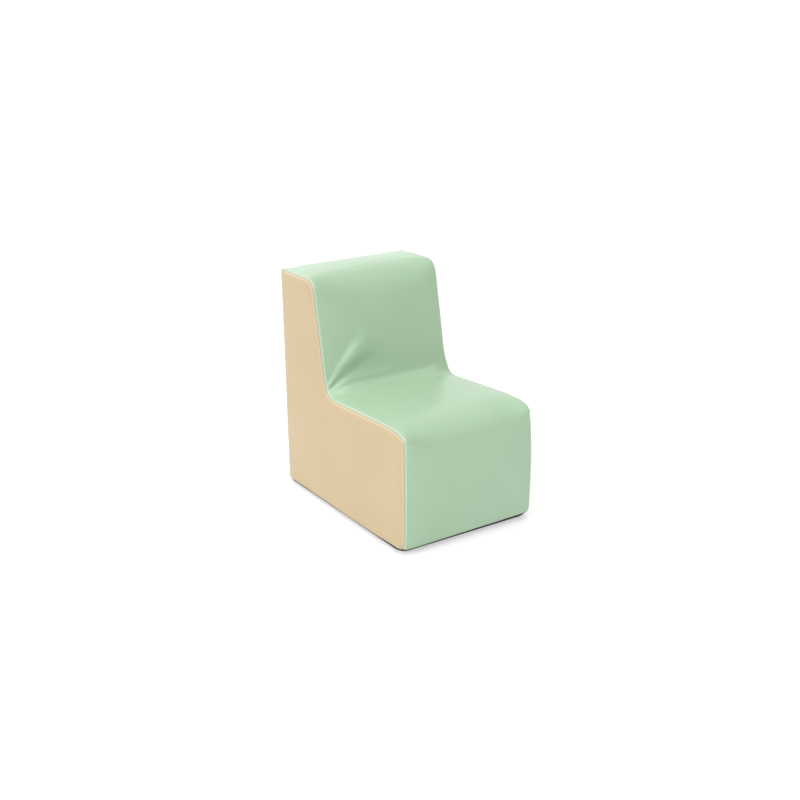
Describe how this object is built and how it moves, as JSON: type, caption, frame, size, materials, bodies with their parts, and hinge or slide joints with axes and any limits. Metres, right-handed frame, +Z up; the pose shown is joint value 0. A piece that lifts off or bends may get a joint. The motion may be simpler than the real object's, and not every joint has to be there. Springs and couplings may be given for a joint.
{
  "type": "foam chair",
  "caption": "Low foam chair for small children: one contour-cut foam block with seat and backrest in a sewn two-colour wipe-clean cover, zipped at the back.",
  "frame": {"origin": "middle of the footprint, on the floor", "axes": "+Z up, the front of the seat faces -Y, +X to the right of someone looking at the front"},
  "size_m": [0.35, 0.52, 0.541],
  "materials": {
    "vinyl_mint": "smooth semi-gloss coated fabric, mint green",
    "vinyl_beige": "smooth semi-gloss coated fabric, beige",
    "antislip_charcoal": "matt anti-slip fabric with small raised dots, charcoal",
    "foam": "open-cell polyurethane foam, cream",
    "zip_tape": "woven polyester tape",
    "zip_coil": "nylon coil",
    "zip_metal": "nickel-plated",
    "thread_mint": "polyester sewing thread"
  },
  "bodies": {
    "cushion": {"foam_core": "foam", "cover_front_band": "vinyl_mint", "cover_left_side": "vinyl_beige", "cover_right_side": "vinyl_beige", "cover_rear_left": "vinyl_mint", "cover_rear_right": "vinyl_mint", "base_panel": "antislip_charcoal", "zip_tape_left": "zip_tape", "zip_tape_right": "zip_tape", "zip_coil_left": "zip_coil", "zip_coil_right": "zip_coil", "zip_stop_upper": "zip_metal", "zip_stops_lower": "zip_metal", "zip_stitches_left": "thread_mint", "zip_stitches_right": "thread_mint", "seam_thread_left": "thread_mint", "seam_thread_right": "thread_mint", "seam_thread_top": "thread_mint", "seam_thread_base": "thread_mint"},
    "slider": {"zip_slider": "zip_metal"},
    "pull": {"zip_pull": "zip_metal"}
  },
  "joints": [
    {"name": "zip_slide", "type": "slide", "parent": "cushion", "child": "slider", "axis": [0, 0.0185, 0.9998], "range_m": [0, 0.422]},
    {"name": "pull_hinge", "type": "hinge", "parent": "slider", "child": "pull", "pos_m": [0, 0.25355, 0.05964], "axis": [1, 0, 0], "range_deg": [-1.5, 138]}
  ]
}
